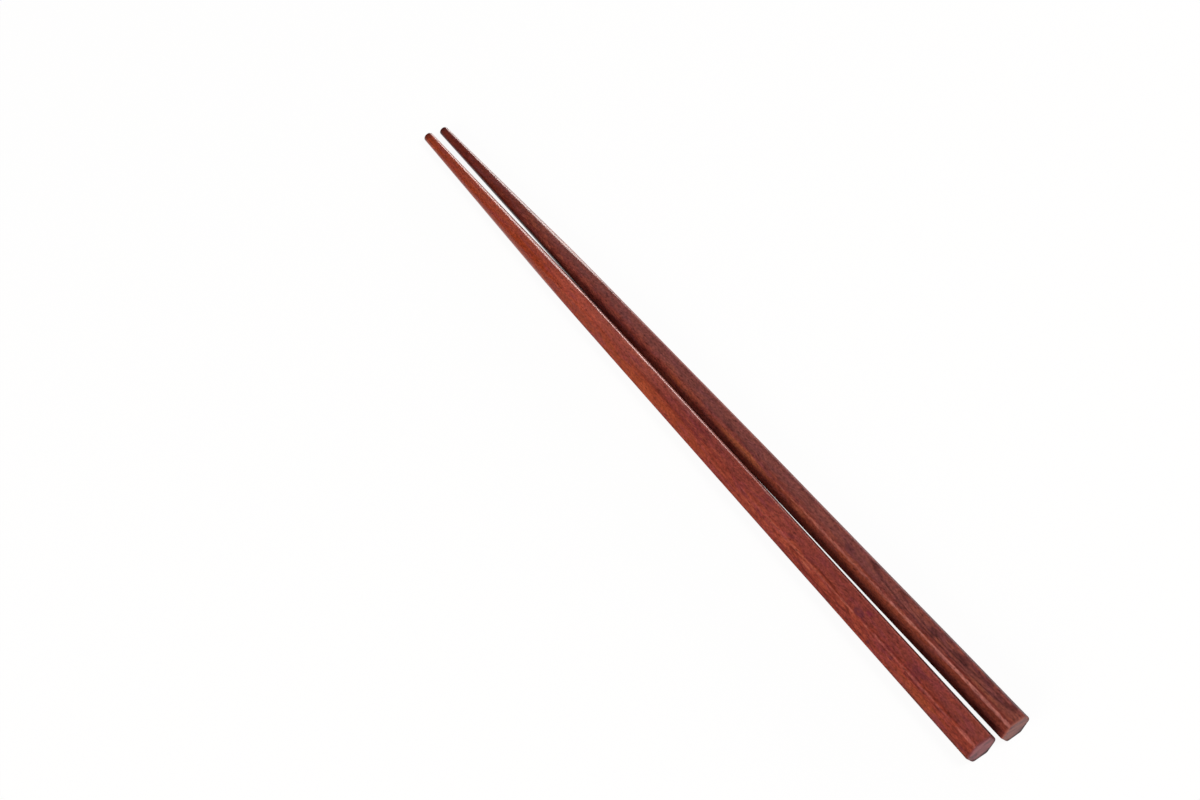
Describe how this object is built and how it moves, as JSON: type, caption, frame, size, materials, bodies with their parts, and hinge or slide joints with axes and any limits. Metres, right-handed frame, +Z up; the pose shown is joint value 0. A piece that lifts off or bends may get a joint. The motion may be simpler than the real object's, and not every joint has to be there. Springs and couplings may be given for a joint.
{
  "type": "pair of wooden chopsticks",
  "caption": "Pair of dark red-brown hardwood chopsticks, hexagonal in section, with a slow taper and tips turned round, lying side by side.",
  "frame": {"origin": "on the surface the pair lies on, under the middle of the pair", "axes": "+X along the pair, from the tips to the butts; +Y across the pair, towards the rear stick; +Z up"},
  "size_m": [0.2257, 0.0182, 0.0076],
  "materials": {
    "rosewood": "thin satin lacquer over fine dark red-brown grain"
  },
  "bodies": {
    "root": {"front_chopstick": "rosewood", "rear_chopstick": "rosewood"}
  },
  "joints": []
}
